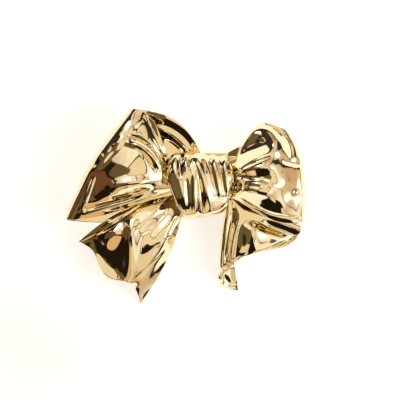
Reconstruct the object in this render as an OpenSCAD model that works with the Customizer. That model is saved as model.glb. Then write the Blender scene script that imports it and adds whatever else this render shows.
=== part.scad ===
// Ribbon bow brooch of polished sheet metal, lying on its back.
// X runs across the bow, Y up the bow and Z out of its face. Z = 0 is the surface it lies on.

/* [Sheet] */
// Thickness of the sheet that the ribbons are formed from
sheet = 0.5; // [0.4:0.05:0.6]
// Gap kept between neighbouring pieces
piece_gap = 0.25; // [0.2:0.05:0.4]

/* [Back] */
// Height of the back band over the surface that the bow lies on
back_height = 5.6; // [5.4:0.1:7]
// Length of the back band, from the left loop to the right one
band_length = 40; // [36:1:42]
// Width of the back band
band_width = 9.4; // [8:0.1:10]
// Place of the middle of the back band and the pin, up from the middle of the bow
band_middle = 8.5; // [8:0.1:9]
// Place of the middle of the back band and the pin, to the right of the middle of the bow
band_right = 2; // [1.6:0.1:2.4]

/* [Pin] */
// Diameter of the pin stem
stem_diameter = 0.9; // [0.8:0.05:1.1]
// Distance between the hinge and the catch
pin_span = 34; // [30:1:35]
// Length of the hinge block and of the catch, along the stem
block_length = 3; // [2.5:0.1:4]
// Width of the hinge block and of the catch
block_width = 2.4; // [2:0.1:3]
// Diameter of the round pad under the hinge and under the catch
pad_diameter = 5; // [4:0.1:6]
// Thickness of the round pads
pad_thickness = 0.6; // [0.5:0.05:0.8]
// Gap between the pin stem and the surface that the bow lies on
stem_lift = 0.3; // [0.2:0.05:0.5]

/* [Knot] */
// Width of the knot across the bow
knot_width = 16.2; // [15:0.1:17]
// Height of the knot up the bow
knot_height = 16; // [15:0.1:17]
// Depth of the knot in front of the back band
knot_depth = 9.3; // [9:0.1:11]
// Place of the middle of the knot, to the right of the middle of the bow
knot_right = 3.7; // [3.4:0.1:4]
// Place of the middle of the knot, up from the middle of the bow
knot_up = 5; // [4.8:0.1:5.4]
// Height of the folds that cross the knot
knot_fold = 1.1; // [0.6:0.1:1.3]

/* [Left loop] */
// Reach of the left loop, from the middle of the bow to its tip
left_loop_reach = 29.8; // [28:0.2:32]
// Rise of the left loop, from the middle of the bow to its peak
left_loop_rise = 24.2; // [23:0.2:26]
// Crest of the left loop over a flat sheet
left_loop_crest = 4.6; // [3.5:0.1:5.5]
// Half the thickness of the rolled fold at the far end of the left loop
left_loop_lip = 1.1; // [0.9:0.05:1.3]

/* [Right loop] */
// Reach of the right loop, from the middle of the bow to its far side
right_loop_reach = 29.7; // [28:0.2:32]
// Rise of the right loop, from the middle of the bow to its top
right_loop_rise = 20.6; // [19.5:0.2:22]
// Crest of the right loop over a flat sheet
right_loop_crest = 6; // [5:0.1:7]
// Half the thickness of the rolled fold at the far end of the right loop
right_loop_lip = 1.5; // [1.2:0.05:1.7]

/* [Left tail] */
// Reach of the left tail, from the middle of the bow to its outer tip
left_tail_reach = 26.8; // [25:0.2:28]
// Drop of the left tail, from the middle of the bow to its lower tip
left_tail_drop = 24.5; // [23:0.1:26]
// Crest of the left tail over a flat sheet
left_tail_crest = 3.6; // [2.5:0.1:4.5]

/* [Right tail] */
// Reach of the right tail, from the middle of the bow to its outer lobe
right_tail_reach = 29.1; // [27:0.2:30]
// Drop of the right tail, from the middle of the bow to its lower tip
right_tail_drop = 21.3; // [20:0.1:23]
// Crest of the right tail over a flat sheet
right_tail_crest = 1.2; // [0.6:0.1:1.8]

/* [Hidden] */
$fn = 48;

// Heights of the layers behind the bow, each the middle of its sheet
band_front = back_height + sheet;
layer_step = sheet + piece_gap;
back_sheet_z = band_front + piece_gap + sheet / 2;
tail_root_z = back_sheet_z + layer_step;
front_root_z = tail_root_z + layer_step;

// Knot, a row for each section from its left rim to its right rim.
// Across: share of half the width. Middle, half height: shares of half the height. Crown: share of the depth.
// Top in, bottom in: how far the section leans towards the middle at its ends, shares of half the width.
KNOT_SECTIONS = [
    [-1.00, 0.28, 0.62, 0.76, 0.10, 0.34],
    [-0.90, 0.20, 0.80, 0.87, 0.08, 0.28],
    [-0.70, 0.08, 0.95, 0.95, 0.05, 0.16],
    [-0.40, 0.00, 1.00, 1.00, 0.00, 0.05],
    [-0.05, 0.01, 0.99, 1.00, 0.00, 0.00],
    [0.30, 0.01, 0.94, 0.99, 0.00, 0.00],
    [0.65, 0.05, 0.88, 0.95, -0.02, -0.03],
    [0.90, 0.09, 0.78, 0.87, -0.08, -0.12],
    [1.00, 0.12, 0.62, 0.76, -0.12, -0.18]
];

// Folds of the knot, a row for each ridge or, with a height under 0, each valley, from its middle.
// From across, from up, to across, to up: shares of half the width and half the height.
// Bend, width from, width to: shares of half the width. Height: share of the fold's height.
KNOT_FOLDS = [
    [-1.099, 0.6, -0.469, -1.1, -0.049, 0.727, 0.148, 0.148],
    [-0.778, 0.6, -0.432, -0.625, 0, 0.318, 0.111, 0.111],
    [-0.642, 1.075, -0.617, 0.2, 0, -0.545, 0.099, 0.074],
    [-0.16, 0.475, -0.173, -0.975, 0, 0.455, 0.068, 0.099],
    [-0.049, 0.325, 0.086, -0.95, 0, -0.545, 0.068, 0.105],
    [-0.173, 1, 0.358, -0.775, 0.025, 0.409, 0.08, 0.093],
    [0.21, 1.075, 0.506, -0.275, 0, -0.545, 0.08, 0.074],
    [0.395, 1.025, 0.654, -0.3, 0, 0.227, 0.074, 0.074],
    [0.543, 1.025, 0.728, -0.325, 0, -0.636, 0.099, 0.074],
    [0.383, -0.35, 1.099, -0.45, 0, -0.455, 0.074, 0.074]
];

// Stations round a loop, from the knot out along the front, round the fold and back behind.
// Along: share of the way out. Front: 1 on the front sheet, 0 behind. Crest and lip: shares of those sizes.
LOOP_STATIONS = [
    [0.22, 1, 0.68, 0.0],
    [0.50, 1, 1.00, 0.1],
    [0.78, 1, 0.60, 0.5],
    [0.95, 1, 0.14, 1.0],
    [1.00, 1, 0.00, 0.0],
    [0.95, 0, 0.00, -1.0],
    [0.66, 0, 0.00, -1.0],
    [0.33, 0, 0.00, -1.0]
];

// Lines of the left loop, a row for each from its upper edge to its lower edge.
// Out, up: shares of the reach and rise. Lift: share of the lip that the fold is raised.
// Crest: share of the crest.
// Front bow, back bow: sideways bends, shares of the rise.
LEFT_LOOP_LINES = [
    [0.453, 1.000, 0.6, 0.45, 0.115, 0.165],
    [0.585, 0.800, 0.5, 0.85, 0.03, 0.09],
    [0.705, 0.600, 0.4, 0.98, 0.00, 0.03],
    [0.808, 0.410, 0.4, 1.00, 0.00, -0.03],
    [0.880, 0.215, 0.1, 0.95, 0.00, -0.07],
    [0.945, 0.030, -0.4, 0.65, -0.02, -0.11],
    [1.000, -0.140, -1.0, 0.25, -0.05, -0.15]
];

// Folds of the left loop, a row for each ridge or, with a height under 0, each valley.
// From out, from up, to out, to up: shares of the reach and rise. Bend, height, width from, width to:
// the height is a share of the crest and the others of the rise.
LEFT_LOOP_FOLDS = [
    [-0.423, 0.992, -0.799, 0.413, 0, 0.261, 0.083, 0.083],
    [-0.349, 0.992, -0.164, 0.434, 0, -0.217, 0.048, 0.033],
    [-0.497, 0.661, -0.188, 0.339, 0.066, 0.174, 0.035, 0.029],
    [-0.664, 0.157, -0.279, 0.248, 0.012, 0.283, 0.083, 0.05],
    [-0.872, -0.041, -0.403, 0.107, 0, -0.174, 0.033, 0.025],
    [-0.725, 0.355, -0.799, 0.025, 0, -0.087, 0.058, 0.066]
];

// Lines of the right loop, from its upper edge to its lower edge, with the columns of the left loop
RIGHT_LOOP_LINES = [
    [0.862, 0.890, 0.0, -0.20, 0.275, 0.05],
    [0.925, 0.740, 0.1, 0.55, 0.150, 0.05],
    [0.968, 0.560, 0.3, 0.90, 0.060, 0.03],
    [0.992, 0.370, 0.4, 1.00, 0.00, 0.02],
    [1.000, 0.180, 0.5, 0.95, 0.00, 0.03],
    [0.996, 0.000, 0.6, 0.75, -0.05, 0.06],
    [0.988, -0.175, 0.7, 0.30, -0.11, 0.10]
];

// Folds of the right loop, with the columns of the left loop
RIGHT_LOOP_FOLDS = [
    [0.673, 0.99, 0.889, 0.544, 0.092, -0.15, 0.039, 0.044],
    [0.418, 0.592, 0.626, 0.971, 0.029, 0.25, 0.063, 0.068],
    [0.444, 0.524, 0.727, 0.767, 0.019, -0.083, 0.068, 0.083],
    [0.626, 0.99, 0.815, 0.641, 0, 0.267, 0.126, 0.126],
    [0.404, 0.408, 0.835, 0.675, 0.034, 0.083, 0.039, 0.053],
    [0.404, 0.403, 0.774, 0.515, 0, 0.083, 0.039, 0.068],
    [0.418, 0.35, 0.727, 0.335, 0, -0.167, 0.058, 0.092],
    [0.438, 0.204, 0.741, 0.141, 0, 0.1, 0.039, 0.049],
    [0.451, 0.107, 0.754, -0.029, 0, -0.167, 0.063, 0.097],
    [0.768, 0.311, 0.862, 0.306, 0, 0.1, 0.097, 0.097],
    [0.781, 0.005, 0.869, -0.01, 0, 0.1, 0.092, 0.092]
];

// Stations along a tail, shares of the way out
TAIL_STATIONS = [0.25, 0.5, 0.75, 1];

// Lines of the left tail, a row for each from its upper edge to its lower edge.
// Out, down: shares of the reach and drop. End: share of the root's height.
// Crest: share of the crest. Bow: share of the drop.
LEFT_TAIL_LINES = [
    [1.000, -0.363, 0.58, 0.42, 0.075],
    [0.860, -0.455, 0.62, 0.80, 0.030],
    [0.820, -0.600, 0.45, 1.00, 0.000],
    [0.720, -0.735, 0.40, 0.95, 0.000],
    [0.600, -0.765, 0.50, 0.90, 0.000],
    [0.508, -0.790, 0.52, 0.85, 0.000],
    [0.460, -0.880, 0.32, 0.70, -0.020],
    [0.425, -1.000, 0.00, 0.20, -0.050]
];

// Folds of the left tail, with the columns of the left loop and the drop in place of the rise
LEFT_TAIL_FOLDS = [
    [-0.799, -0.392, -0.59, -0.22, 0, 0.361, 0.082, 0.082],
    [-0.522, -0.816, -0.493, -0.122, 0.008, 0.361, 0.082, 0.073],
    [-0.907, -0.498, -0.511, -0.824, -0.082, 0.5, 0.094, 0.094],
    [-0.134, -0.041, -0.366, -0.31, 0, -0.167, 0.041, 0.061],
    [-0.209, 0.024, -0.455, -0.261, 0, 0.083, 0.033, 0.041],
    [-0.097, -0.131, -0.246, -0.433, 0, 0.097, 0.033, 0.041],
    [-0.108, -0.543, -0.369, -1.016, 0, 0.306, 0.061, 0.061]
];

// Lines of the right tail, from its side under the loop, along the lobe, round the roll to its tucked edge
RIGHT_TAIL_LINES = [
    [0.945, -0.160, 0.76, 0.2, 0.02],
    [1.000, -0.262, 0.78, 0.4, 0.00],
    [0.925, -0.432, 0.84, 0.6, 0.00],
    [0.770, -0.507, 0.94, 0.8, 0.00],
    [0.598, -0.545, 0.98, 0.6, 0.00],
    [0.467, -0.620, 0.86, 0.2, 0.00],
    [0.350, -0.723, 0.78, 0.6, 0.00],
    [0.289, -0.836, 0.48, 0.6, -0.02],
    [0.337, -0.958, 0.12, 0.0, -0.03],
    [0.460, -1.000, 0.00, 0.0, 0.00]
];

// Folds of the right tail, with the columns of the left tail
RIGHT_TAIL_FOLDS = [
    [0.405, -0.117, 0.344, -0.695, 0, -0.75, 0.028, 0.031],
    [0.605, -0.15, 0.557, -0.592, 0, 0.75, 0.108, 0.113],
    [0.467, -0.131, 1.017, -0.385, 0, -0.75, 0.07, 0.07]
];

// Length of a fold's fading ends: in its widths, and the least as a share of its own length
fade_widths = 1.6;
least_fade = 0.3;
// Shares along a loop and along a tail between which folds come in and go out
LOOP_SEEN = [0.09, 0.17, 0.54, 0.6];
TAIL_SEEN = [0.15, 0.35, 2, 3];
// Share along a loop where its front sheet ends
loop_front_end = 0.58;

// Share of the knot's arch that a loop's ribbon fills inside the knot and at its rim
root_inside = 0.50;
root_at_rim = 0.72;
// Place inside the knot where a loop's ribbon begins: share of the knot's width from its middle
root_place = 0.25;
// Half the angle that a loop's root takes up in the knot's arch
root_half_angle = 72;
// Ends of each tail inside the knot and then at its rim, each its upper edge and its lower edge.
// Across, up: shares of the knot's half sizes.
LEFT_TAIL_ROOT = [[-0.30, -0.10], [-0.15, -0.42], [-0.92, -0.30], [-0.58, -0.97]];
RIGHT_TAIL_ROOT = [[0.80, 0.02], [0.52, -0.14], [1.16, -0.36], [0.74, -0.54]];
// Drop of the right tail's rolled lines where they leave the knot
right_rim_drop = 1.1;
// Lift of the knot's lower foot over the root of the tails
foot_lift = 0.6;
// Power of the cosine in the round arch of the loops' roots and in the knot's squarer arch
round_power = 1;
knot_power = 0.45;
// Behind the knot, where the back sheets of the left and the right loop end.
// Across, up: shares of the knot's half sizes.
BEHIND_KNOT = [[0.10, 0.86], [0.42, 0.80]];
// Factors that make the greatest height of a * a * (1 - a) and of a * (1 - a) equal to 1
far_bow = 6.75;
even_bow = 4;
// Rows of each sheet's grid: along its front, along its back and across
LEFT_LOOP_ROWS = [30, 12, 24];
RIGHT_LOOP_ROWS = [28, 11, 22];
LEFT_TAIL_ROWS = [21, 0, 28];
RIGHT_TAIL_ROWS = [15, 0, 30];
KNOT_ROWS = [40, 0, 20];

// Weights of four neighbouring rows, at a share f of the way between the inner two
function weights(f) =
    [pow(1 - f, 3), 3 * pow(f, 3) - 6 * f * f + 4, 3 * f * (1 + f - f * f) + 1, pow(f, 3)] / 6;

// Rows drawn apart, so that the smooth curve passes close to each of them
function drawn_apart(rows) =
    [for (i = [0 : len(rows) - 1])
        i == 0 || i == len(rows) - 1 ? rows[i] : (8 * rows[i] - rows[i - 1] - rows[i + 1]) / 6];

// A row, or the one that carries on straight past either end
function row_or_past(rows, i) =
    i < 0 ? 2 * rows[0] - rows[1]
    : i >= len(rows) ? 2 * rows[len(rows) - 1] - rows[len(rows) - 2]
    : rows[i];

// Smooth curve through the rows, at a share t of its length
function curve(rows, t) =
    let (
        spans = len(rows) - 1,
        i = min(floor(t * spans), spans - 1),
        w = weights(t * spans - i)
    )
    w[0] * row_or_past(rows, i - 1) + w[1] * rows[i] + w[2] * rows[i + 1] + w[3] * row_or_past(rows, i + 2);

// Smooth step from 0 to 1 between a and b
function ease(a, b, x) =
    let (t = max(0, min(1, (x - a) / (b - a))))
    t * t * t * (t * (6 * t - 15) + 10);

// Height that one fold adds at a place in front of the sheet.
// Out, up: lengths that the fold's places are shares of. Across: that of its bend and widths.
function fold_height(fold, place, out, up, across) =
    let (
        from = [fold[0] * out, fold[1] * up],
        run = [fold[2] * out, fold[3] * up] - from,
        share = (place - from) * run / (run * run),
        bend = fold[4] * across * even_bow * share * (1 - share),
        off = ((place[1] - from[1]) * run[0] - (place[0] - from[0]) * run[1]) / norm(run) - bend,
        width = across * (fold[6] + (fold[7] - fold[6]) * max(0, min(1, share))),
        fade = max(fade_widths * width / norm(run), least_fade),
        reach = ease(-fade / 2, fade, share) * (1 - ease(1 - fade, 1 + fade / 2, share))
    )
    reach == 0 ? 0 : fold[5] * reach * exp(-pow(off / width, 2));

// Height that all the folds of a table add together
function folds_height(folds, place, out, up, across, i = 0) =
    i == len(folds) ? 0
    : fold_height(folds[i], place, out, up, across) + folds_height(folds, place, out, up, across, i + 1);

// Grid of points of a ribbon from its net and its folds, in rows along its front, along its back and across.
// Seen: shares along it between which folds come in near the knot and go out behind the far end.
function ribbon_grid(net, rows, front_end, folds, reach, rise, crest, seen) =
    let (
        tight = drawn_apart([for (row = net) drawn_apart(row)]),
        wide = rows[2]
    )
    [for (t = shares_along(rows[0], rows[1], front_end))
        let (
            row = curve(tight, t),
            size = crest * ease(seen[0], seen[1], t) * (1 - ease(seen[2], seen[3], t))
        )
        [for (j = [0 : wide])
            let (p = curve(row, j / wide))
            p + [0, 0, size == 0 ? 0 : size * folds_height(folds, [p[0], p[1]], reach, rise, rise)]]];

// Shares along a ribbon: front rows to a share of its length, then back rows for the rest
function shares_along(front, back, front_end) =
    [each [for (i = [0 : front]) front_end * i / front],
     each [for (i = [1 : 1 : back]) front_end + (1 - front_end) * i / back]];

// Direction square to the sheet at a point of a grid
function square_to(grid, i, j) =
    let (
        last_i = len(grid) - 1,
        last_j = len(grid[0]) - 1,
        down = grid[min(i + 1, last_i)][j] - grid[max(i - 1, 0)][j],
        side = grid[i][min(j + 1, last_j)] - grid[i][max(j - 1, 0)],
        n = cross(down, side)
    )
    n / norm(n);

// Closed sheet of metal, half its thickness to each side of a grid of points
module formed_sheet(grid) {
    long = len(grid) - 1;
    wide = len(grid[0]) - 1;
    count = (long + 1) * (wide + 1);
    points = [for (side = [1, -1])
        for (i = [0 : long])
            for (j = [0 : wide])
                grid[i][j] + side * sheet / 2 * square_to(grid, i, j)];
    faces_of_front = [for (i = [0 : long - 1])
        for (j = [0 : wide - 1])
            let (a = i * (wide + 1) + j, b = a + wide + 1)
            each [[a, a + 1, b + 1], [a, b + 1, b]]];
    faces_of_back = [for (f = faces_of_front) [f[2] + count, f[1] + count, f[0] + count]];
    rim = concat(
        [for (j = [0 : wide]) j],
        [for (i = [1 : long]) i * (wide + 1) + wide],
        [for (j = [wide - 1 : -1 : 0]) long * (wide + 1) + j],
        [for (i = [long - 1 : -1 : 1]) i * (wide + 1)]
    );
    faces_of_rim = [for (k = [0 : len(rim) - 1])
        let (a = rim[k], b = rim[(k + 1) % len(rim)])
        each [[b, a, a + count], [b, a + count, b + count]]];
    polyhedron(points = points, faces = concat(faces_of_front, faces_of_back, faces_of_rim), convexity = 8);
}

// Section of the knot, at a place from 0 at its left rim to 1 at its right rim
function knot_section(place) =
    let (s = curve(drawn_apart(KNOT_SECTIONS), place))
    [
        knot_right + s[0] * knot_width / 2,
        knot_up + s[1] * knot_height / 2,
        s[2] * knot_height / 2,
        band_front + s[3] * knot_depth,
        s[4] * knot_width / 2,
        s[5] * knot_width / 2
    ];

// Point in the arch of the knot: place across, angle from its front and share of the way out to its wall
function in_arch(place, angle, share, foot, power = round_power) =
    let (s = knot_section(place))
    [
        s[0] + (angle > 0 ? s[4] : s[5]) * pow(sin(angle), 2),
        s[1] + share * s[2] * sin(angle),
        foot + share * (s[3] - foot) * pow(max(cos(angle), 0), power)
    ];

// Angle in the knot's arch of a line of a loop, at a share of the loop's width from its upper edge
function loop_angle(share) = root_half_angle * (1 - 2 * share);

// Net of a loop on one side of the bow, -1 left or 1 right
function loop_net(side, lines, reach, rise, crest, lip) =
    let (last = len(lines) - 1)
    concat(
        [[for (k = [0 : last])
            in_arch(0.5 + side * root_place, loop_angle(k / last), root_inside, front_root_z)]],
        [[for (k = [0 : last])
            in_arch(0.5 + side * 0.5, loop_angle(k / last), root_at_rim, front_root_z)]],
        [for (station = LOOP_STATIONS)
            [for (k = [0 : last]) loop_point(side, station, lines[k], k / last, reach, rise, crest, lip)]],
        [[for (k = [0 : last]) behind_knot(side, k / last)]]
    );

// Point where the back sheet of a loop ends behind the knot, at a share of its width from its upper edge
function behind_knot(side, share) =
    let (top = BEHIND_KNOT[side < 0 ? 0 : 1])
    on_knot(top[0], top[1] - share, back_sheet_z);

// Point of a loop at a station of a line
function loop_point(side, station, line, share, reach, rise, crest, lip) =
    let (
        a = station[0],
        root = station[1] == 1
            ? in_arch(0.5 + side * 0.5, loop_angle(share), root_at_rim, front_root_z)
            : behind_knot(side, share),
        far = [side * line[0] * reach, line[1] * rise, back_sheet_z + lip * (1 + line[2])],
        run = far - root,
        bow = station[1] == 1 ? line[4] * far_bow * a * a * (1 - a) : line[5] * even_bow * a * (1 - a),
        sideways = side * [-run[1], run[0]] / norm([run[0], run[1]]) * bow * rise,
        deep = station[1] == 1
            ? root[2] + run[2] * a + station[2] * line[3] * crest + station[3] * lip
            : root[2] + (run[2] - lip) * a * a
    )
    [root[0] + run[0] * a + sideways[0], root[1] + run[1] * a + sideways[1], deep];

// Net of a tail on one side of the bow, -1 left or 1 right, from its ends inside and at the rim of the knot.
// Rim drop: how far the lowest lines are dropped at the rim.
function tail_net(side, lines, root, rim_drop, reach, drop, crest) =
    let (
        last = len(lines) - 1,
        ends = [for (r = root) on_knot(r[0], r[1], tail_root_z)],
        starts = [for (k = [0 : last]) ends[0] + (ends[1] - ends[0]) * k / last],
        roots = [for (k = [0 : last])
            ends[2] + (ends[3] - ends[2]) * k / last - [0, 0, rim_drop * pow(1 - lines[k][2], 2)]]
    )
    concat(
        [starts, roots],
        [for (a = TAIL_STATIONS)
            [for (k = [0 : last]) tail_point(side, a, lines[k], roots[k], reach, drop, crest)]]
    );

// Point of a tail at a share a of the way out along a line
function tail_point(side, a, line, root, reach, drop, crest) =
    let (
        end = [side * line[0] * reach, line[1] * drop, sheet / 2 + line[2] * (tail_root_z - sheet / 2)],
        run = end - root,
        bow = line[4] * even_bow * a * (1 - a) * drop,
        sideways = side * [-run[1], run[0]] / norm([run[0], run[1]]) * bow,
        deep = root[2] + run[2] * a + line[3] * crest * even_bow * a * (1 - a)
    )
    [root[0] + run[0] * a + sideways[0], root[1] + run[1] * a + sideways[1], deep];

// Point on the knot, as shares of its half width and half height
function on_knot(across, up, z) = [knot_right + across * knot_width / 2, knot_up + up * knot_height / 2, z];

module left_loop() {
    net = loop_net(-1, LEFT_LOOP_LINES, left_loop_reach, left_loop_rise, left_loop_crest, left_loop_lip);
    grid = ribbon_grid(net, LEFT_LOOP_ROWS, loop_front_end, LEFT_LOOP_FOLDS,
        left_loop_reach, left_loop_rise, left_loop_crest, LOOP_SEEN);
    color("gold") formed_sheet(grid);
}

module right_loop() {
    net = loop_net(1, RIGHT_LOOP_LINES, right_loop_reach, right_loop_rise, right_loop_crest, right_loop_lip);
    grid = ribbon_grid(net, RIGHT_LOOP_ROWS, loop_front_end, RIGHT_LOOP_FOLDS,
        right_loop_reach, right_loop_rise, right_loop_crest, LOOP_SEEN);
    color("goldenrod") formed_sheet(grid);
}

module left_tail() {
    net = tail_net(-1, LEFT_TAIL_LINES, LEFT_TAIL_ROOT, 0, left_tail_reach, left_tail_drop, left_tail_crest);
    grid = ribbon_grid(net, LEFT_TAIL_ROWS, 1, LEFT_TAIL_FOLDS,
        left_tail_reach, left_tail_drop, left_tail_crest, TAIL_SEEN);
    color("khaki") formed_sheet(grid);
}

module right_tail() {
    net = tail_net(1, RIGHT_TAIL_LINES, RIGHT_TAIL_ROOT, right_rim_drop,
        right_tail_reach, right_tail_drop, right_tail_crest);
    grid = ribbon_grid(net, RIGHT_TAIL_ROWS, 1, RIGHT_TAIL_FOLDS,
        right_tail_reach, right_tail_drop, right_tail_crest, TAIL_SEEN);
    color("wheat") formed_sheet(grid);
}

module knot() {
    long = KNOT_ROWS[0];
    wide = KNOT_ROWS[2];
    grid = [for (i = [0 : long])
        [for (j = [0 : wide])
            let (
                angle = 90 - 180 * j / wide,
                foot = tail_root_z + (front_root_z + foot_lift - tail_root_z) * j / wide,
                plain = in_arch(i / long, angle, 1, foot, knot_power),
                place = [plain[0] - knot_right, plain[1] - knot_up],
                folds = folds_height(KNOT_FOLDS, place, knot_width / 2, knot_height / 2, knot_width / 2),
                raised = knot_fold * folds
            )
            in_arch(i / long, angle, 1 + raised / (knot_height / 2), foot, knot_power)]];
    color("orange") formed_sheet(grid);
}

module back_band() {
    color("darkkhaki")
        translate([band_right, band_middle, back_height])
            linear_extrude(sheet)
                hull()
                    for (end = [-1, 1])
                        translate([end * (band_length - band_width) / 2, 0])
                            circle(d = band_width);
}

module pin() {
    top = back_height - piece_gap / 2;
    color("silver")
        translate([band_right, band_middle, 0]) {
            translate([-pin_span / 2, 0, stem_lift + stem_diameter / 2])
                rotate([0, 90, 0])
                    cylinder(h = pin_span, d = stem_diameter);
            for (end = [-1, 1])
                translate([end * pin_span / 2, 0, 0]) {
                    translate([-block_length / 2, -block_width / 2, 0])
                        cube([block_length, block_width, top]);
                    translate([0, 0, top - pad_thickness])
                        cylinder(h = pad_thickness, d = pad_diameter);
                }
        }
}

left_loop();
right_loop();
left_tail();
right_tail();
knot();
back_band();
pin();
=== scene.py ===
import math

import bmesh
import bpy
import numpy as np
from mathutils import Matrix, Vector


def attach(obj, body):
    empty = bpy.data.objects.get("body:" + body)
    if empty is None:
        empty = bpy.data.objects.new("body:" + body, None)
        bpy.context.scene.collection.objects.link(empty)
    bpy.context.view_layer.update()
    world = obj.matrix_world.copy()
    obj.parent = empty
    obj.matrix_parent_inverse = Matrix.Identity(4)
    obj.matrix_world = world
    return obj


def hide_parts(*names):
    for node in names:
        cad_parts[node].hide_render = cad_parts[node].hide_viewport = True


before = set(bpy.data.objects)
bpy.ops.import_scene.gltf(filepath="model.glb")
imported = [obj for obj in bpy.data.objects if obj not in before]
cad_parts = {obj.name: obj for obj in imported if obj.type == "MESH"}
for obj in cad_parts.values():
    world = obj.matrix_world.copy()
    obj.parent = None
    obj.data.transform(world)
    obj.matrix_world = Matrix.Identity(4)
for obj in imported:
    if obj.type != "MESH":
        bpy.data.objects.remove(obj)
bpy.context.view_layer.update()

# The brooch is one body. Sizes of the bow are in millimetres, and MM turns them into metres.
BODY = "root"
MM = 0.001

# Sizes shared with the part
SHEET = 0.5
PIECE_GAP = 0.25
BACK_HEIGHT = 5.6
KNOT_WIDTH, KNOT_HEIGHT, KNOT_DEPTH = 16.2, 16.0, 9.3
KNOT_RIGHT, KNOT_UP = 3.7, 5.0
KNOT_FOLD = 1.1

# A power under 1 makes the arch of the knot squarer
KNOT_POWER = 0.45
# Lift of the knot's lower edge over the roots of the loops
KNOT_FOOT_LIFT = 0.6

# Heights of the layers behind the knot, from the back to the front
BAND_FRONT = BACK_HEIGHT + SHEET
LAYER_STEP = SHEET + PIECE_GAP
BACK_SHEET_Z = BAND_FRONT + PIECE_GAP + SHEET / 2
TAIL_ROOT_Z = BACK_SHEET_Z + LAYER_STEP
FRONT_ROOT_Z = TAIL_ROOT_Z + LAYER_STEP

# Roots of the loops in the arch of the knot, inside it and at its rim: share of the way to its
# wall, and place from its middle as a share of its width. They spread over the angle both ways.
ROOT_INSIDE, ROOT_AT_RIM = 0.50, 0.72
INSIDE_PLACE, RIM_PLACE = 0.25, 0.5
ROOT_HALF_ANGLE = 72
# Top of the back sheets' roots behind the knot, for the left (-1) and the right (1): across, up
BEHIND_KNOT = {-1: (0.10, 0.86), 1: (0.42, 0.80)}

# A fold fades out at its ends over so many widths, and over this share of its length at least
FOLD_FADE, LEAST_FADE = 1.6, 0.3
# Where the folds come in and go out, as shares of the way round a loop or along a tail
FRONT_FOLDS_IN, FRONT_FOLDS_OUT = (0.09, 0.17), (0.54, 0.6)
BACK_FOLDS_IN = (0.6, 0.68)
TAIL_FOLDS_IN = (0.15, 0.35)

# The walls are a little thinner than the part's, so that fine folds stay inside its box
WALL = SHEET - 0.06
EDGE_ROUNDING = 0.3 * SHEET
EDGE_STEPS = 3
EDGE_ANGLE = 60

# Knot sections, as shares of half its width, half its height and its depth:
# across, middle, half height, crown, top in, bottom in
KNOT_SECTIONS = [
    [-1.00, 0.28, 0.62, 0.76, 0.10, 0.34],
    [-0.90, 0.20, 0.80, 0.87, 0.08, 0.28],
    [-0.70, 0.08, 0.95, 0.95, 0.05, 0.16],
    [-0.40, 0.00, 1.00, 1.00, 0.00, 0.05],
    [-0.05, 0.01, 0.99, 1.00, 0.00, 0.00],
    [0.30, 0.01, 0.94, 0.99, 0.00, 0.00],
    [0.65, 0.05, 0.88, 0.95, -0.02, -0.03],
    [0.90, 0.09, 0.78, 0.87, -0.08, -0.12],
    [1.00, 0.12, 0.62, 0.76, -0.12, -0.18],
]

# Folds, as shares of half the knot's width, half its height and its folds:
# from across, from up, to across, to up, bend, height, width from, width to
KNOT_FOLDS = [
    [-1.099, 0.6, -0.469, -1.1, -0.049, 0.727, 0.148, 0.148],
    [-0.778, 0.6, -0.432, -0.625, 0, 0.318, 0.111, 0.111],
    [-0.642, 1.075, -0.617, 0.2, 0, -0.545, 0.099, 0.074],
    [-0.444, 1, -0.42, 0.45, 0, 0.273, 0.062, 0.062],
    [-0.346, 1, -0.346, 0.575, 0, -0.364, 0.049, 0.043],
    [-0.432, 0.225, -0.383, -0.6, 0, -0.364, 0.049, 0.049],
    [-0.16, 0.475, -0.173, -0.975, 0, 0.455, 0.068, 0.099],
    [-0.049, 0.325, 0.086, -0.95, 0, -0.545, 0.068, 0.105],
    [-0.173, 1, 0.358, -0.775, 0.025, 0.409, 0.08, 0.093],
    [0.21, 1.075, 0.506, -0.275, 0, -0.545, 0.08, 0.074],
    [0.395, 1.025, 0.654, -0.3, 0, 0.227, 0.074, 0.074],
    [0.543, 1.025, 0.728, -0.325, 0, -0.636, 0.099, 0.074],
    [0.728, 1, 0.864, -0.3, 0, 0.273, 0.062, 0.062],
    [0.383, -0.35, 1.099, -0.45, 0, -0.455, 0.074, 0.074],
]

# Stations round a loop, out along the front (1) and back behind it (0). Along is the share of
# the way out, and the others are shares of the crest and the lip: along, front, crest, lip
LOOP_STATIONS = [
    [0.22, 1, 0.68, 0.0],
    [0.50, 1, 1.00, 0.1],
    [0.78, 1, 0.60, 0.5],
    [0.95, 1, 0.14, 1.0],
    [1.00, 1, 0.00, 0.0],
    [0.95, 0, 0.00, -1.0],
    [0.66, 0, 0.00, -1.0],
    [0.33, 0, 0.00, -1.0],
]

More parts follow.
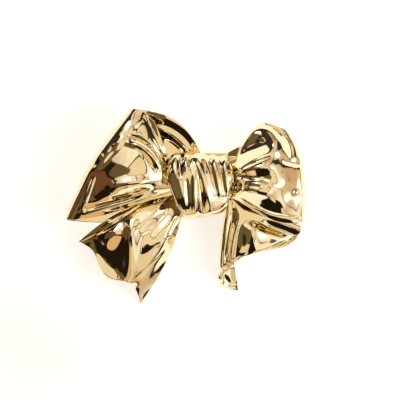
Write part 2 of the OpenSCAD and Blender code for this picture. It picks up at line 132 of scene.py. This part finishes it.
# Loops. A line's out and up place its far end, lift raises that end by a share of the lip, and
# the bows bend the line sideways in front and behind: out, up, lift, crest, front bow, back bow.
# Folds, as shares of reach, rise and crest: from out, from up, to out, to up, bend, height,
# width from, width to.
LEFT_LOOP = {
    "side": -1, "reach": 29.8, "rise": 24.2, "crest": 4.6, "lip": 1.1,
    "lines": [
        [0.453, 1.000, 0.6, 0.45, 0.115, 0.165],
        [0.585, 0.800, 0.5, 0.85, 0.03, 0.09],
        [0.705, 0.600, 0.4, 0.98, 0.00, 0.03],
        [0.808, 0.410, 0.4, 1.00, 0.00, -0.03],
        [0.880, 0.215, 0.1, 0.95, 0.00, -0.07],
        [0.945, 0.030, -0.4, 0.65, -0.02, -0.11],
        [1.000, -0.140, -1.0, 0.25, -0.05, -0.15],
    ],
    "folds": [
        [-0.423, 0.992, -0.799, 0.413, 0, 0.261, 0.083, 0.083],
        [-0.376, 0.921, -0.611, 0.554, 0, 0.141, 0.062, 0.041],
        [-0.601, 0.595, -0.758, 0.355, 0, 0.065, 0.037, 0.025],
        [-0.349, 0.992, -0.164, 0.434, 0, -0.13, 0.048, 0.033],
        [-0.282, 0.942, -0.121, 0.479, 0, 0.065, 0.029, 0.025],
        [-0.497, 0.661, -0.188, 0.339, 0.066, 0.174, 0.035, 0.029],
        [-0.503, 0.727, -0.174, 0.393, 0.079, -0.13, 0.027, 0.021],
        [-0.423, 0.62, -0.252, 0.339, 0.033, -0.109, 0.019, 0.017],
        [-0.664, 0.157, -0.279, 0.248, 0.012, 0.283, 0.083, 0.05],
        [-0.664, 0.079, -0.279, 0.174, -0.021, -0.087, 0.021, 0.021],
        [-0.872, -0.041, -0.403, 0.107, 0, -0.174, 0.033, 0.025],
        [-0.772, -0.054, -0.168, 0.14, 0, 0.087, 0.025, 0.025],
        [-0.725, 0.355, -0.799, 0.025, 0, -0.087, 0.058, 0.066],
        [-0.748, 0.331, -0.872, -0.066, 0, 0.087, 0.017, 0.017],
    ],
    "back_folds": [
        [-0.289, 0.990, 0.184, 0.570, 0.075, 0.37, 0.150, 0.150],
        [-0.282, 0.818, 0.050, 0.521, 0.058, 0.13, 0.037, 0.037],
    ],
}

RIGHT_LOOP = {
    "side": 1, "reach": 29.7, "rise": 20.6, "crest": 6.0, "lip": 1.5,
    "lines": [
        [0.862, 0.890, 0.0, -0.20, 0.275, 0.05],
        [0.925, 0.740, 0.1, 0.55, 0.150, 0.05],
        [0.968, 0.560, 0.3, 0.90, 0.060, 0.03],
        [0.992, 0.370, 0.4, 1.00, 0.00, 0.02],
        [1.000, 0.180, 0.5, 0.95, 0.00, 0.03],
        [0.996, 0.000, 0.6, 0.75, -0.05, 0.06],
        [0.988, -0.175, 0.7, 0.30, -0.11, 0.10],
    ],
    "folds": [
        [0.673, 0.99, 0.889, 0.544, 0.092, -0.15, 0.039, 0.044],
        [0.801, 0.544, 0.997, 0.495, 0, -0.1, 0.039, 0.044],
        [0.418, 0.592, 0.626, 0.971, 0.029, 0.25, 0.063, 0.068],
        [0.444, 0.524, 0.727, 0.767, 0.019, -0.083, 0.068, 0.083],
        [0.626, 0.99, 0.815, 0.641, 0, 0.267, 0.126, 0.126],
        [0.539, 0.612, 0.734, 0.893, 0, -0.083, 0.087, 0.087],
        [0.404, 0.408, 0.835, 0.675, 0.034, 0.083, 0.039, 0.053],
        [0.465, 0.437, 0.737, 0.602, 0.015, -0.083, 0.019, 0.019],
        [0.404, 0.403, 0.774, 0.515, 0, 0.083, 0.039, 0.068],
        [0.418, 0.35, 0.727, 0.335, 0, -0.2, 0.058, 0.092],
        [0.438, 0.311, 0.791, 0.209, 0.01, 0.037, 0.024, 0.029],
        [0.438, 0.204, 0.741, 0.141, 0, 0.09, 0.039, 0.049],
        [0.451, 0.107, 0.754, -0.029, 0, -0.067, 0.063, 0.097],
        [0.455, 0.107, 0.943, -0.126, -0.068, -0.067, 0.019, 0.019],
        [0.966, 0.777, 0.973, -0.218, 0, 0.083, 0.039, 0.039],
        [0.889, 0.16, 0.97, 0.17, 0, -0.067, 0.039, 0.039],
        [0.384, 0.243, 0.478, 0.243, 0, -0.2, 0.049, 0.053],
        [0.768, 0.311, 0.862, 0.306, 0, 0.1, 0.097, 0.097],
        [0.781, 0.005, 0.869, -0.01, 0, 0.1, 0.092, 0.092],
    ],
    "back_folds": [
        [0.492, 0.850, 0.424, 0.510, 0, 0.167, 0.078, 0.078],
    ],
}

# Stations along a tail, from the rim of the knot to the cut end
TAIL_STATIONS = [0.25, 0.5, 0.75, 1.0]

# Tails, which start between two places inside the knot and pass its rim between two more. The
# rim drop lowers a line at the rim where its end lies low. A line's end is the height of its tip
# as a share of the root's: out, down, end, crest, bow. Folds as for the loops.
LEFT_TAIL = {
    "side": -1, "reach": 26.8, "drop": 24.5, "crest": 3.6,
    "inside": [(-0.30, -0.10), (-0.15, -0.42)],
    "rim": [(-0.92, -0.30), (-0.58, -0.97)], "rim_drop": 0,
    "lines": [
        [1.000, -0.363, 0.58, 0.42, 0.075],
        [0.860, -0.455, 0.62, 0.80, 0.030],
        [0.820, -0.600, 0.45, 1.00, 0.000],
        [0.720, -0.735, 0.40, 0.95, 0.000],
        [0.600, -0.765, 0.50, 0.90, 0.000],
        [0.508, -0.790, 0.52, 0.85, 0.000],
        [0.460, -0.880, 0.32, 0.70, -0.020],
        [0.425, -1.000, 0.00, 0.20, -0.050],
    ],
    "folds": [
        [-0.799, -0.392, -0.59, -0.22, 0, 0.361, 0.082, 0.082],
        [-0.522, -0.816, -0.493, -0.122, 0.008, 0.361, 0.082, 0.073],
        [-0.907, -0.498, -0.511, -0.824, -0.082, 0.5, 0.094, 0.094],
        [-0.907, -0.498, -0.511, -0.824, -0.082, 0.111, 0.078, 0.078],
        [-0.134, -0.041, -0.366, -0.31, 0, -0.167, 0.041, 0.061],
        [-0.209, 0.024, -0.455, -0.261, 0, 0.083, 0.033, 0.041],
        [-0.097, -0.131, -0.246, -0.433, 0, 0.097, 0.033, 0.041],
        [-0.082, -0.106, -0.172, -0.31, 0, -0.139, 0.016, 0.02],
        [-0.496, -0.759, -0.175, -0.4, -0.016, -0.042, 0.016, 0.016],
        [-0.108, -0.543, -0.369, -1.016, 0, 0.306, 0.061, 0.061],
        [-0.358, 0.049, -1.007, -0.392, 0.02, -0.083, 0.014, 0.014],
    ],
}

RIGHT_TAIL = {
    "side": 1, "reach": 29.1, "drop": 21.3, "crest": 1.2,
    "inside": [(0.80, 0.02), (0.52, -0.14)],
    "rim": [(1.16, -0.36), (0.74, -0.54)], "rim_drop": 1.1,
    "lines": [
        [0.945, -0.160, 0.76, 0.2, 0.02],
        [1.000, -0.262, 0.78, 0.4, 0.00],
        [0.925, -0.432, 0.84, 0.6, 0.00],
        [0.770, -0.507, 0.94, 0.8, 0.00],
        [0.598, -0.545, 0.98, 0.6, 0.00],
        [0.467, -0.620, 0.86, 0.2, 0.00],
        [0.350, -0.723, 0.78, 0.6, 0.00],
        [0.289, -0.836, 0.48, 0.6, -0.02],
        [0.337, -0.958, 0.12, 0.0, -0.03],
        [0.460, -1.000, 0.00, 0.0, 0.00],
    ],
    "folds": [
        [0.405, -0.117, 0.344, -0.695, 0, -0.75, 0.028, 0.031],
        [0.46, -0.169, 0.385, -0.676, -0.014, 0.5, 0.026, 0.026],
        [0.605, -0.15, 0.557, -0.592, 0, 0.75, 0.108, 0.113],
        [0.467, -0.131, 1.017, -0.385, 0, -0.75, 0.07, 0.07],
        [0.969, -0.319, 0.399, -0.638, 0.047, -0.417, 0.023, 0.021],
        [0.543, -0.577, 0.289, -0.779, 0, 0.417, 0.019, 0.019],
        [0.529, -0.554, 0.323, -0.714, 0, -0.25, 0.016, 0.016],
        [0.419, -0.685, 0.419, -0.92, 0, -0.333, 0.028, 0.028],
        [0.296, -0.714, 0.412, -0.93, -0.047, -0.292, 0.038, 0.038],
    ],
}


# Smooth curves and folds

def drawn_apart(rows):
    """Rows drawn apart, so that the smooth curve passes close to each of them."""
    rows = np.array(rows, float)
    apart = rows.copy()
    apart[1:-1] = (8 * rows[1:-1] - rows[:-2] - rows[2:]) / 6
    return apart


def spans_at(count, t):
    """The span of a curve through so many rows that each share of its length lies in, and how
    far along that span it lies."""
    place = np.clip(t, 0, 1) * (count - 1)
    span = np.minimum(place.astype(int), count - 2)
    return span, place - span


def blended(before, start, end, after, f):
    """Points of a smooth curve at shares f of a span, from the rows round it."""
    return ((1 - f) ** 3 * before + (3 * f**3 - 6 * f**2 + 4) * start
            + (3 * f * (1 + f - f**2) + 1) * end + f**3 * after) / 6


def curve(rows, t):
    """Points of the smooth curve through the rows, at shares t of its length."""
    past = np.concatenate([2 * rows[:1] - rows[1:2], rows, 2 * rows[-1:] - rows[-2:-1]])
    span, f = spans_at(len(rows), t)
    return blended(*(past[span + k] for k in range(4)), f.reshape(-1, *[1] * (rows.ndim - 1)))


def curve_across(nets, t):
    """The same for a row of points for each share."""
    first, last = 2 * nets[:, :1] - nets[:, 1:2], 2 * nets[:, -1:] - nets[:, -2:-1]
    past = np.concatenate([first, nets, last], axis=1)
    span, f = spans_at(nets.shape[1], t)
    own = np.arange(len(nets))
    return blended(*(past[own, span + k] for k in range(4)), f[:, None])


def ease(a, b, x):
    """Smooth step from 0 to 1 between a and b."""
    t = np.clip((x - a) / (b - a), 0, 1)
    return t**3 * (t * (6 * t - 15) + 10)


def even_bow(share):
    """0 at both ends and 1 half-way."""
    return 4 * share * (1 - share)


def late_bow(share):
    """0 at both ends and 1 at two thirds of the way."""
    return 27 / 4 * share**2 * (1 - share)


def folds_height(folds, along, across, out, up, crest, width):
    """Height that the folds of a table add together at some places. Their places are shares of
    out and up, their heights of crest, and their bends and widths of width."""
    scaled = np.array(folds) * [out, up, out, up, width, crest, width, width]
    total = np.zeros(np.shape(along))
    for from_along, from_across, to_along, to_across, bend, height, width_from, width_to in scaled:
        run = np.array([to_along - from_along, to_across - from_across])
        a, c = along - from_along, across - from_across
        share = (a * run[0] + c * run[1]) / (run @ run)
        off = (c * run[0] - a * run[1]) / np.linalg.norm(run) - bend * even_bow(share)
        wide = width_from + (width_to - width_from) * np.clip(share, 0, 1)
        fade = np.maximum(FOLD_FADE * wide / np.hypot(*run), LEAST_FADE)
        reach = ease(-0.5 * fade, fade, share) * (1 - ease(1 - fade, 1 + 0.5 * fade, share))
        total += height * reach * np.exp(-(off / wide) ** 2)
    return total


# Places on the knot and lines of the ribbons

def knot_section(place):
    """Sections of the knot at places from 0 at its left rim to 1 at its right rim."""
    s = curve(drawn_apart(KNOT_SECTIONS), np.atleast_1d(place))
    return (KNOT_RIGHT + s[:, 0] * KNOT_WIDTH / 2, KNOT_UP + s[:, 1] * KNOT_HEIGHT / 2,
            s[:, 2] * KNOT_HEIGHT / 2, BAND_FRONT + s[:, 3] * KNOT_DEPTH,
            s[:, 4] * KNOT_WIDTH / 2, s[:, 5] * KNOT_WIDTH / 2)


def in_arch(place, angle, share, foot, power=1.0):
    """Points in the arch of the knot: place across, angle from its front and share of the way
    to its wall."""
    x, middle, half, front, top_in, bottom_in = knot_section(place)
    sine = np.sin(np.radians(angle))
    cosine = np.maximum(np.cos(np.radians(angle)), 0) ** power
    return np.stack([x + np.where(sine > 0, top_in, bottom_in) * sine**2,
                     middle + share * half * sine,
                     foot + share * (front - foot) * cosine], axis=-1)


def on_knot(across, up, z):
    """The place at shares of half the knot's width and height from its middle."""
    return np.array([KNOT_RIGHT + across * KNOT_WIDTH / 2, KNOT_UP + up * KNOT_HEIGHT / 2, z])


def behind_knot(side, share):
    """The place behind the knot where a line of a loop ends."""
    across, top = BEHIND_KNOT[side]
    return on_knot(across, top - share, BACK_SHEET_Z)


def loop_root(side, share, place, way):
    """The place in the knot where a line of a loop starts."""
    angle = ROOT_HALF_ANGLE * (1 - 2 * share)
    return in_arch(0.5 + side * place, angle, way, FRONT_ROOT_Z)[0]


def sideways(side, run, amount):
    """Offset square to a line's run, seen from the front."""
    return side * np.array([-run[1], run[0], 0]) / np.hypot(run[0], run[1]) * amount


def shares_of(lines):
    """Shares from 0 for the first line to 1 for the last."""
    return [k / (len(lines) - 1) for k in range(len(lines))]


def loop_point(loop, station, line, share):
    """The point of a loop at a station of a line."""
    along, front, crest, lip = station
    out, up, lift, line_crest, front_bow, back_bow = line
    side = loop["side"]
    if front:
        root = loop_root(side, share, RIM_PLACE, ROOT_AT_RIM)
        bow = front_bow * late_bow(along)
    else:
        root = behind_knot(side, share)
        bow = back_bow * even_bow(along)
    far = np.array([side * out * loop["reach"], up * loop["rise"],
                    BACK_SHEET_Z + loop["lip"] * (1 + lift)])
    run = far - root
    point = root + run * along + sideways(side, run, bow * loop["rise"])
    if front:
        raised = crest * line_crest * loop["crest"] + lip * loop["lip"]
        point[2] = root[2] + run[2] * along + raised
    else:
        point[2] = root[2] + (run[2] - loop["lip"]) * along**2
    return point


def loop_net(loop):
    """Rows of points from inside the knot, out along the front and back to behind the knot."""
    side, lines = loop["side"], loop["lines"]
    shares = shares_of(lines)
    return [[loop_root(side, share, INSIDE_PLACE, ROOT_INSIDE) for share in shares],
            [loop_root(side, share, RIM_PLACE, ROOT_AT_RIM) for share in shares],
            *[[loop_point(loop, station, line, share) for line, share in zip(lines, shares)]
              for station in LOOP_STATIONS],
            [behind_knot(side, share) for share in shares]]


def tail_net(tail):
    """Rows of points from inside the knot to the cut end of a tail."""
    lines = tail["lines"]
    shares = shares_of(lines)
    inside = [on_knot(*place, TAIL_ROOT_Z) for place in tail["inside"]]
    rim = [on_knot(*place, TAIL_ROOT_Z) for place in tail["rim"]]
    starts = [inside[0] + (inside[1] - inside[0]) * share for share in shares]
    roots = [rim[0] + (rim[1] - rim[0]) * share - [0, 0, tail["rim_drop"] * (1 - line[2]) ** 2]
             for share, line in zip(shares, lines)]
    net = [starts, roots]
    for along in TAIL_STATIONS:
        row = []
        for (out, down, end, crest, bow), root in zip(lines, roots):
            tip = np.array([tail["side"] * out * tail["reach"], down * tail["drop"],
                            SHEET / 2 + end * (TAIL_ROOT_Z - SHEET / 2)])
            run = tip - root
            bowed = bow * even_bow(along) * tail["drop"]
            point = root + run * along + sideways(tail["side"], run, bowed)
            point[2] += crest * tail["crest"] * even_bow(along)
            row.append(point)
        net.append(row)
    return net


# Surfaces of the ribbons: functions from shares along and across to points

def ribbon_surface(net, raised):
    """The surface through a net, with its folds raised."""
    tight = drawn_apart(np.swapaxes(drawn_apart(np.swapaxes(np.array(net), 0, 1)), 0, 1))

    def points(along, across):
        place = curve_across(curve(tight, along), across)
        place[:, 2] += raised(place[:, 0], place[:, 1], along)
        return place
    return points


def loop_surface(loop):
    sizes = loop["reach"], loop["rise"], loop["crest"], loop["rise"]

    def raised(x, y, along):
        front = ease(*FRONT_FOLDS_IN, along) * (1 - ease(*FRONT_FOLDS_OUT, along))
        back = ease(*BACK_FOLDS_IN, along)
        return (front * folds_height(loop["folds"], x, y, *sizes)
                + back * folds_height(loop["back_folds"], x, y, *sizes))
    return ribbon_surface(loop_net(loop), raised)


def tail_surface(tail):
    sizes = tail["reach"], tail["drop"], tail["crest"], tail["drop"]

    def raised(x, y, along):
        return ease(*TAIL_FOLDS_IN, along) * folds_height(tail["folds"], x, y, *sizes)
    return ribbon_surface(tail_net(tail), raised)


def knot_surface(along, across):
    """The knot from rim to rim, and over its arch from top to bottom."""
    angle = 90 - 180 * across
    foot = TAIL_ROOT_Z + (FRONT_ROOT_Z + KNOT_FOOT_LIFT - TAIL_ROOT_Z) * across
    plain = in_arch(along, angle, 1, foot, KNOT_POWER)
    raised = folds_height(KNOT_FOLDS, plain[:, 0] - KNOT_RIGHT, plain[:, 1] - KNOT_UP,
                          KNOT_WIDTH / 2, KNOT_HEIGHT / 2, KNOT_FOLD, KNOT_WIDTH / 2)
    return in_arch(along, angle, 1 + raised / (KNOT_HEIGHT / 2), foot, KNOT_POWER)


# Materials

def fill(made, inputs):
    """Give the inputs of a node their values and links."""
    for key, value in inputs.items():
        if isinstance(value, Wire):
            value.tree.links.new(value.socket, made.inputs[key])
        else:
            made.inputs[key].default_value = value


class Wire:
    """A shader socket that takes part in Python sums."""

    def __init__(self, tree, socket):
        self.tree, self.socket = tree, socket

    def node(self, kind, settings=None, inputs=None, output=0):
        made = self.tree.nodes.new(kind)
        for key, value in (settings or {}).items():
            setattr(made, key, value)
        fill(made, inputs or {})
        return Wire(self.tree, made.outputs[output])

    def maths(self, operation, other, swapped=False):
        a, b = (other, self) if swapped else (self, other)
        return self.node("ShaderNodeMath", {"operation": operation}, {0: a, 1: b})

    def clamped(self):
        return self.node("ShaderNodeClamp", None, {"Value": self})

    def clouds(self, scale, detail):
        """Cloudy pattern over the places that this socket gives."""
        inputs = {"Vector": self, "Scale": scale, "Detail": detail}
        return self.node("ShaderNodeTexNoise", None, inputs)

    def colour(self, at_none, at_full):
        """Colour between two, by this socket's value from 0 to 1."""
        inputs = {"Factor": self, "A": (*at_none, 1), "B": (*at_full, 1)}
        return self.node("ShaderNodeMix", {"data_type": "RGBA"}, inputs, output=2)

    def __add__(self, other): return self.maths("ADD", other)
    def __mul__(self, other): return self.maths("MULTIPLY", other)
    def __sub__(self, other): return self.maths("SUBTRACT", other)
    def __rsub__(self, other): return self.maths("SUBTRACT", other, True)
    __radd__, __rmul__ = __add__, __mul__


def new_material(name):
    """A material, its shader and the place on the piece."""
    material = bpy.data.materials.new(name)
    material.use_nodes = True
    tree = material.node_tree
    place = Wire(tree, tree.nodes.new("ShaderNodeTexCoord").outputs["Object"])
    return material, tree.nodes["Principled BSDF"], place


# Patterns of the gold: scale and detail of its clouds
TONE, MARKS, SMEARS = (90.0, 3.0), (2400.0, 2.0), (350.0, 4.0)
MARKS_SHARE = 0.3
RIPPLE_DEPTH = 0.02 * MM


def gold(name, colour, deeper, roughness, ripple):
    """Gold with a slow change of tone, faint polishing marks and a breath of unevenness."""
    material, shader, place = new_material(name)
    smears = place.clouds(*SMEARS)
    height = smears + place.clouds(*MARKS) * MARKS_SHARE
    bump = {"Strength": ripple, "Distance": RIPPLE_DEPTH, "Height": height}
    fill(shader, {
        "Base Color": place.clouds(*TONE).colour(colour, deeper),
        "Metallic": 1.0,
        "Roughness": roughness * 0.5 + smears * roughness,
        "Normal": place.node("ShaderNodeBump", None, bump),
    })
    return material


polished_gold = gold("polished_gold", (0.94, 0.83, 0.57), (0.93, 0.78, 0.48), 0.07, 0.15)
satin_gold = gold("satin_gold", (0.92, 0.68, 0.32), (0.86, 0.62, 0.27), 0.3, 0.3)


# The bow

def placed(name, bm, material):
    """The object of a finished shape."""
    mesh = bpy.data.meshes.new(name)
    bm.to_mesh(mesh)
    bm.free()
    mesh.materials.append(material)
    made = bpy.data.objects.new(name, mesh)
    bpy.context.scene.collection.objects.link(made)
    return made


def ribbon(node, surface, long, wide):
    """A sheet of metal with rounded edges that follows a surface, in so many steps each way."""
    bm = bmesh.new()
    bmesh.ops.create_grid(bm, x_segments=long, y_segments=wide, size=1)
    shares = np.array([v.co[:2] for v in bm.verts]) / 2 + 0.5
    for vert, place in zip(bm.verts, surface(shares[:, 0], shares[:, 1])):
        vert.co = Vector(place) * MM
    piece = placed(node + "_ribbon", bm, polished_gold)
    piece.data.shade_smooth()
    wall = piece.modifiers.new("wall", "SOLIDIFY")
    wall.thickness = WALL * MM
    wall.offset = 0
    edge = piece.modifiers.new("edge", "BEVEL")
    edge.width = EDGE_ROUNDING * MM
    edge.segments = EDGE_STEPS
    edge.limit_method = "ANGLE"
    edge.angle_limit = math.radians(EDGE_ANGLE)
    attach(piece, BODY)
    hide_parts(node)


ribbon("left_loop", loop_surface(LEFT_LOOP), 240, 140)
ribbon("right_loop", loop_surface(RIGHT_LOOP), 230, 120)
ribbon("left_tail", tail_surface(LEFT_TAIL), 140, 150)
ribbon("right_tail", tail_surface(RIGHT_TAIL), 130, 170)
ribbon("knot", knot_surface, 150, 160)

for node in ("back_band", "pin"):
    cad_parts[node].data.materials.clear()
    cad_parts[node].data.materials.append(satin_gold)


# Floor, light and camera, in metres

# Scale and detail of a cloth's clouds, and how strong they are
CLOTH_CLOUDS, CLOUD_STRENGTH = (3.0, 2.0), 1.2
# Change of a cloth's colour for each metre up, and its share at the floor
CLOTH_CHANGE, CLOTH_FOOT = 1.5, -0.25
# Glow in the middle of a lamp before it is cut off at 1: over 1 leaves an even middle
LAMP_MIDDLE = 1.6
LIGHT_STEPS_ROUND, LIGHT_STEPS_DOWN = 24, 8


def glowing(name, strength):
    """A material that glows and reflects nothing."""
    material, shader, place = new_material(name)
    fill(shader, {"Base Color": (0, 0, 0, 1), "Specular IOR Level": 0,
                  "Emission Strength": strength})
    return material, shader, place


def lit_cloth(name, high, low, strength=1.0):
    """Cloth that glows from one colour at its top to another at its foot, with soft clouds."""
    material, shader, place = glowing(name, strength)
    height = place.node("ShaderNodeSeparateXYZ", None, {"Vector": place}, output=2)
    clouds = (place.clouds(*CLOTH_CLOUDS) - 0.5) * CLOUD_STRENGTH
    share = (height * CLOTH_CHANGE + CLOTH_FOOT + clouds).clamped()
    fill(shader, {"Emission Color": share.colour(low, high)})
    return material


def soft_lamp(name, middle, radius, colour, strength):
    """A glow that fades out from its middle."""
    material, shader, place = glowing(name, strength)
    ends = {0: place, 1: middle}
    away = place.node("ShaderNodeVectorMath", {"operation": "DISTANCE"}, ends, output=1)
    fill(shader, {"Emission Color": (*colour, 1),
                  "Alpha": (LAMP_MIDDLE - away * (LAMP_MIDDLE / radius)).clamped()})
    return material


def staged(name, bm, material):
    """A shape that lights the brooch or shows in it, and that the camera doesn't see."""
    made = placed(name, bm, material)
    made.visible_camera = False
    return made


def card(name, place, size, material, target):
    """A flat card at a place, turned to face its target."""
    bm = bmesh.new()
    bmesh.ops.create_grid(bm, x_segments=1, y_segments=1, size=0.5)
    bmesh.ops.scale(bm, vec=(*size, 1), verts=bm.verts)
    turn = (Vector(target) - Vector(place)).to_track_quat("Z", "Y").to_matrix()
    bmesh.ops.rotate(bm, matrix=turn, verts=bm.verts)
    bmesh.ops.translate(bm, vec=place, verts=bm.verts)
    return staged(name, bm, material)


def over_brooch(turn, fall, distance):
    """The place at so many degrees round the brooch and down from the top."""
    turn, fall = math.radians(turn), math.radians(fall)
    level = math.sin(fall)
    return distance * Vector((level * math.cos(turn), level * math.sin(turn), math.cos(fall)))


def curved_sheet(name, turn, fall, material, distance):
    """A curved sheet over the brooch, from and to in degrees round it and down from the top."""
    bm = bmesh.new()
    bmesh.ops.create_grid(bm, x_segments=LIGHT_STEPS_ROUND, y_segments=LIGHT_STEPS_DOWN, size=0.5)
    for vert in bm.verts:
        vert.co = over_brooch(turn[0] + (turn[1] - turn[0]) * (vert.co.x + 0.5),
                              fall[0] + (fall[1] - fall[0]) * (vert.co.y + 0.5), distance)
    staged(name, bm, material)


floor_paint, paint, _ = new_material("floor_paint")
fill(paint, {"Base Color": (0.93, 0.93, 0.92, 1), "Roughness": 0.9,
             "Emission Color": (0.95, 0.98, 1.0, 1), "Emission Strength": 0.56})
floor = card("floor", (0, 0, 0), (3, 3), floor_paint, (0, 0, 1))
floor.visible_camera = True

LAMP_COLOUR, LAMP_DISTANCE = (1.0, 0.97, 0.92), 0.9
lamp_left = soft_lamp("lamp_left", over_brooch(119, 56, LAMP_DISTANCE), 0.15, LAMP_COLOUR, 6.0)
lamp_right = soft_lamp("lamp_right", over_brooch(-5, 55, LAMP_DISTANCE), 0.25, LAMP_COLOUR, 7.0)
white = lit_cloth("white_cloth", (1.0, 0.97, 0.93), (0.55, 0.37, 0.22), 1.1)
cream = lit_cloth("cream_cloth", (1.0, 0.84, 0.66), (0.50, 0.32, 0.18))
above = lit_cloth("cloth_above", (0.92, 0.79, 0.61), (0.45, 0.32, 0.20))
brown = lit_cloth("brown_card", (0.22, 0.09, 0.05), (0.14, 0.06, 0.03))
olive = lit_cloth("olive_card", (0.16, 0.12, 0.05), (0.11, 0.08, 0.04))
slate = lit_cloth("slate_card", (0.07, 0.055, 0.04), (0.035, 0.03, 0.03))
tan = lit_cloth("tan_card", (0.90, 0.64, 0.38), (0.78, 0.50, 0.27))
near_white = lit_cloth("near_white", (1.0, 0.92, 0.78), (0.85, 0.72, 0.55))
black = lit_cloth("black_card", (0.01, 0.008, 0.006), (0.01, 0.008, 0.006))

# Bright and dark sheets round the brooch: turn from and to, fall from and to, material, distance
for sheet in (
    ("light_left", (95, 147), (30, 84), white, 1.0),
    ("light_left_low", (147, 154), (64, 84), white, 1.0),
    ("light_right", (-30, 48), (30, 84), white, 1.0),
    ("light_up", (56, 92), (30, 84), cream, 1.0),
    ("light_down", (-66, -32), (30, 86), white, 1.0),
    ("light_down_low", (-83, -66), (60, 86), white, 1.0),
    ("lamp_left", (108, 130), (46, 66), lamp_left, LAMP_DISTANCE),
    ("lamp_right", (-26, 16), (38, 72), lamp_right, LAMP_DISTANCE),
    ("cloth_above", (-83, 147), (0, 27), above, 0.95),
    ("cloth_left", (147, 277), (0, 19), above, 0.95),
    ("olive_left", (148, 214), (20, 56), olive, 0.9),
    ("brown_left", (156, 200), (60, 88), brown, 0.9),
    ("rim_left", (95, 200), (77, 90), black, 0.85),
    ("slate_lip", (106, 150), (61, 90), slate, 0.84),
    ("slate_right", (28, 58), (64, 90), slate, 0.84),
    ("rim_down", (225, 268), (74, 90), black, 0.85),
    ("rim_down_right", (304, 325), (74, 90), black, 0.85),
):
    curved_sheet(*sheet)

# Cards close to the left tail, for its bright spot and its bright half: place, size, material,
# target
for near in (
    ("near_card", (-0.0295, -0.049, 0.0263), (0.026, 0.060), tan, (-0.018, -0.008, 0.008)),
    ("near_light", (-0.0069, -0.034, 0.025), (0.017, 0.024), near_white,
     (-0.0105, -0.0135, 0.003)),
):
    card(*near).visible_diffuse = False

world = bpy.data.worlds.new("room")
world.use_nodes = True
fill(world.node_tree.nodes["Background"], {"Color": (1.0, 0.68, 0.34, 1), "Strength": 0.015})
bpy.context.scene.world = world

# The photo shows 100 mm across, straight from the front, at half the height of the bow
PHOTO_ACROSS, PHOTO_MIDDLE = 0.1, (0.003625, 0.0015)
CAMERA_HEIGHT, HALF_BOW_HEIGHT = 0.6, 0.008
SENSOR_WIDTH = 36
camera_data = bpy.data.cameras.new("camera")
camera_data.sensor_width = SENSOR_WIDTH
camera_data.lens = SENSOR_WIDTH * (CAMERA_HEIGHT - HALF_BOW_HEIGHT) / PHOTO_ACROSS
camera = bpy.data.objects.new("camera", camera_data)
camera.location = (*PHOTO_MIDDLE, CAMERA_HEIGHT)
bpy.context.scene.collection.objects.link(camera)
bpy.context.scene.camera = camera
bpy.context.scene.view_settings.view_transform = "Standard"
